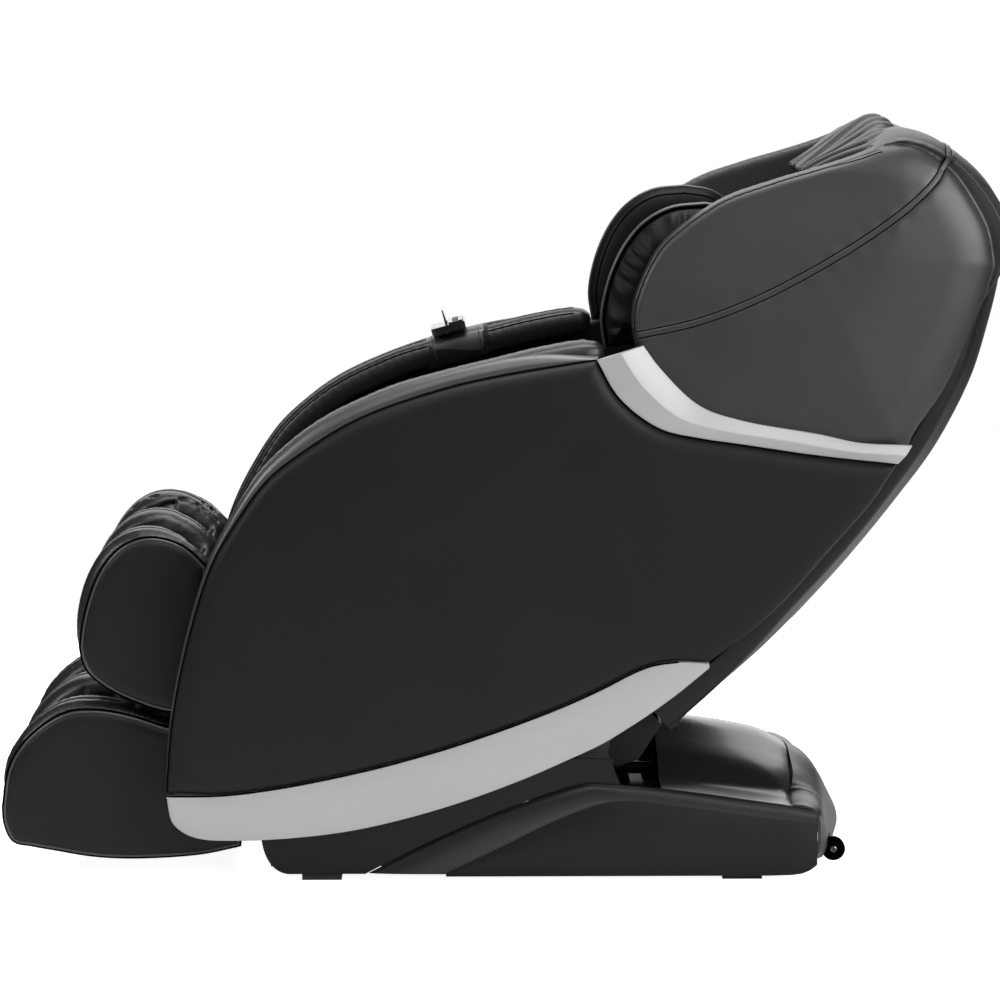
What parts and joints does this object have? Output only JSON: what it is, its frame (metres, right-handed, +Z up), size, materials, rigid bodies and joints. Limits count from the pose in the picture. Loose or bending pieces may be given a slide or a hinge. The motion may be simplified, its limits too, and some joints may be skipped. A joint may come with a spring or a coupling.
{
  "type": "massage chair",
  "caption": "Cocoon massage chair with padded hood, side panels, curved arms, calf and foot wells, reclining seat on a sliding base and a massage track.",
  "frame": {"origin": "on the floor under the middle of the chair's box", "axes": "-X the way the sitter faces, +X towards the hood's back, +Y the sitter's right, +Z up"},
  "size_m": [1.5882, 0.75, 1.1767],
  "materials": {
    "panel_leather": "matte black synthetic leather",
    "hood_leather": "semi-gloss black synthetic leather",
    "seat_leather": "semi-gloss black synthetic leather over foam and air bags",
    "cover_leather": "black synthetic leather with light piping",
    "silver_trim": "satin silver paint",
    "base_plastic": "fine-grained black",
    "gloss_cover": "piano black",
    "key_plastic": "satin black",
    "frame_steel": "black powder coat",
    "rod_steel": "ground steel",
    "drive_housing": "dark grey moulding",
    "roller_plastic": "off-white nylon",
    "wheel_rubber": "black rubber"
  },
  "bodies": {
    "base": {"base_frame": "frame_steel", "base_skirt": "base_plastic", "base_side_plates": "base_plastic", "hump_cover": "gloss_cover", "rear_cap": "base_plastic", "base_feet": "wheel_rubber", "wheel_brackets": "frame_steel", "glide_rails": "rod_steel", "cam_plates": "frame_steel", "glide_actuator": "drive_housing", "air_pump": "drive_housing", "control_box": "base_plastic", "power_panel": "key_plastic"},
    "carriage": {"glide_carriage": "frame_steel", "glide_rod": "rod_steel"},
    "cocoon": {"seat_frame": "frame_steel", "massage_rails": "frame_steel", "side_panel_left": "panel_leather", "side_panel_right": "panel_leather", "side_rims": "panel_leather", "lower_trim_left": "silver_trim", "lower_trim_right": "silver_trim", "upper_trim_left": "silver_trim", "upper_trim_right": "silver_trim", "hood": "hood_leather", "back_cover": "base_plastic", "underbody_cover": "base_plastic", "seat_cushion": "seat_leather", "back_cushion": "seat_leather", "head_pillow": "hood_leather", "pillow_strap": "hood_leather", "shoulder_wing_left": "hood_leather", "shoulder_wing_right": "hood_leather", "arm_roll_left": "seat_leather", "arm_roll_right": "seat_leather", "arm_pads": "seat_leather", "remote_band": "panel_leather", "leg_actuator": "drive_housing"},
    "tilt_rollers": {"tilt_rollers": "roller_plastic"},
    "leg_rest": {"calf_frame": "frame_steel", "calf_pads": "seat_leather", "calf_covers": "cover_leather"},
    "leg_rod": {"leg_rod": "rod_steel"},
    "foot_unit": {"foot_pads": "seat_leather", "foot_covers": "cover_leather", "foot_guides": "rod_steel"},
    "foot_rollers": {"foot_rollers": "roller_plastic"},
    "massage_carriage": {"massage_carriage": "drive_housing"},
    "pinion_shaft": {"pinion_shaft": "rod_steel"},
    "roller_arms": {"roller_arms": "drive_housing"},
    "upper_rollers": {"upper_rollers": "roller_plastic"},
    "lower_rollers": {"lower_rollers": "roller_plastic"},
    "remote_cradle": {"remote_cradle": "gloss_cover", "handset": "gloss_cover"},
    "key_power": {"key_power": "key_plastic"},
    "key_recline": {"key_recline": "key_plastic"},
    "key_massage": {"key_massage": "key_plastic"},
    "power_switch": {"power_switch": "key_plastic"},
    "transport_wheel_left": {"transport_wheel_left": "wheel_rubber"},
    "transport_wheel_right": {"transport_wheel_right": "wheel_rubber"}
  },
  "joints": [
    {"name": "recline", "type": "hinge", "parent": "carriage", "child": "cocoon", "pos_m": [0.13, 0, 0.19], "axis": [0, 1, 0], "range_deg": [0, 20]},
    {"name": "glide", "type": "slide", "parent": "base", "child": "carriage", "axis": [-1, 0, 0], "range_m": [0, 0.17]},
    {"name": "tilt_roller_spin", "type": "hinge", "parent": "cocoon", "child": "tilt_rollers", "pos_m": [-0.07, 0, 0.16], "axis": [0, 1, 0], "continuous": true},
    {"name": "leg_lift", "type": "hinge", "parent": "cocoon", "child": "leg_rest", "pos_m": [-0.437, 0, 0.47], "axis": [0, 1, 0], "range_deg": [0, 75]},
    {"name": "leg_rod_slide", "type": "slide", "parent": "cocoon", "child": "leg_rod", "axis": [-1, 0, 0], "range_m": [0, 0.176]},
    {"name": "foot_extend", "type": "slide", "parent": "leg_rest", "child": "foot_unit", "axis": [-0.4226, 0, -0.9063], "range_m": [0, 0.1]},
    {"name": "foot_roller_spin", "type": "hinge", "parent": "foot_unit", "child": "foot_rollers", "pos_m": [-0.6, 0, 0.062], "axis": [0, 1, 0], "continuous": true},
    {"name": "massage_travel", "type": "slide", "parent": "cocoon", "child": "massage_carriage", "axis": [0.5446, 0, 0.8387], "range_m": [0, 0.33]},
    {"name": "pinion_spin", "type": "hinge", "parent": "massage_carriage", "child": "pinion_shaft", "pos_m": [0.34597, 0, 0.50059], "axis": [0, 1, 0], "range_deg": [-1051, 1]},
    {"name": "roller_swing", "type": "hinge", "parent": "massage_carriage", "child": "roller_arms", "pos_m": [0.30366, 0, 0.52807], "axis": [0, 1, 0], "range_deg": [-8, 8]},
    {"name": "upper_roller_spin", "type": "hinge", "parent": "roller_arms", "child": "upper_rollers", "pos_m": [0.31767, 0, 0.6084], "axis": [0, 1, 0], "continuous": true},
    {"name": "lower_roller_spin", "type": "hinge", "parent": "roller_arms", "child": "lower_rollers", "pos_m": [0.23598, 0, 0.4826], "axis": [0, 1, 0], "continuous": true},
    {"name": "cradle_swivel", "type": "hinge", "parent": "cocoon", "child": "remote_cradle", "pos_m": [-0.09201, 0.296, 0.8059], "axis": [-0.2611, 0, 0.9653], "range_deg": [-60, 60]},
    {"name": "power_rocker", "type": "hinge", "parent": "base", "child": "power_switch", "pos_m": [0.505, 0.024, 0.037], "axis": [0, 1, 0], "range_deg": [-7, 7]},
    {"name": "wheel_spin_left", "type": "hinge", "parent": "base", "child": "transport_wheel_left", "pos_m": [0.511, -0.23, 0.037], "axis": [0, 1, 0], "continuous": true},
    {"name": "wheel_spin_right", "type": "hinge", "parent": "base", "child": "transport_wheel_right", "pos_m": [0.511, 0.23, 0.037], "axis": [0, 1, 0], "continuous": true},
    {"name": "key_power_press", "type": "slide", "parent": "remote_cradle", "child": "key_power", "axis": [0.2611, 0, -0.9653], "range_m": [0, 0.001], "stiffness_N_per_m": 300},
    {"name": "key_recline_press", "type": "slide", "parent": "remote_cradle", "child": "key_recline", "axis": [0.2611, 0, -0.9653], "range_m": [0, 0.001], "stiffness_N_per_m": 300},
    {"name": "key_massage_press", "type": "slide", "parent": "remote_cradle", "child": "key_massage", "axis": [0.2611, 0, -0.9653], "range_m": [0, 0.001], "stiffness_N_per_m": 300}
  ],
  "couplings": [
    {"joint": "glide", "follows": "recline", "m_per_rad": 0.48701},
    {"joint": "leg_rod_slide", "follows": "leg_lift", "m_per_rad": 0.13445},
    {"joint": "pinion_spin", "follows": "massage_travel", "rad_per_m": -55.556}
  ]
}
